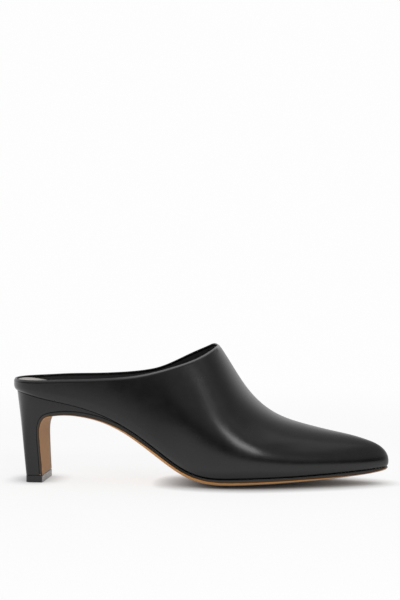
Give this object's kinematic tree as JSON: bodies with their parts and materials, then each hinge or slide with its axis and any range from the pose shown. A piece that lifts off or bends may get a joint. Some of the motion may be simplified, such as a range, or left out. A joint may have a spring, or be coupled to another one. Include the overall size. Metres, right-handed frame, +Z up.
{
  "type": "heeled mule",
  "caption": "Right-foot backless mule with a closed pointed vamp, a low rim round the heel seat and a slim covered block heel; open at the collar, stands on its forepart and heel lift.",
  "frame": {"origin": "middle of the shoe's box, on the floor it stands on", "axes": "+X from the heel to the tip of the toe, +Y to the inner side of the foot, +Z up"},
  "size_m": [0.26, 0.0861, 0.0955],
  "materials": {
    "black_leather": "smooth black calf, half gloss",
    "footbed_leather": "pale grey-beige lining leather, matt",
    "sole_leather": "natural tan sole leather with a black inked edge",
    "lift_rubber": "dark hard rubber, satin"
  },
  "bodies": {
    "root": {"upper": "black_leather", "insole": "footbed_leather", "outsole": "sole_leather", "heel": "black_leather", "heel_lift": "lift_rubber"}
  },
  "joints": []
}
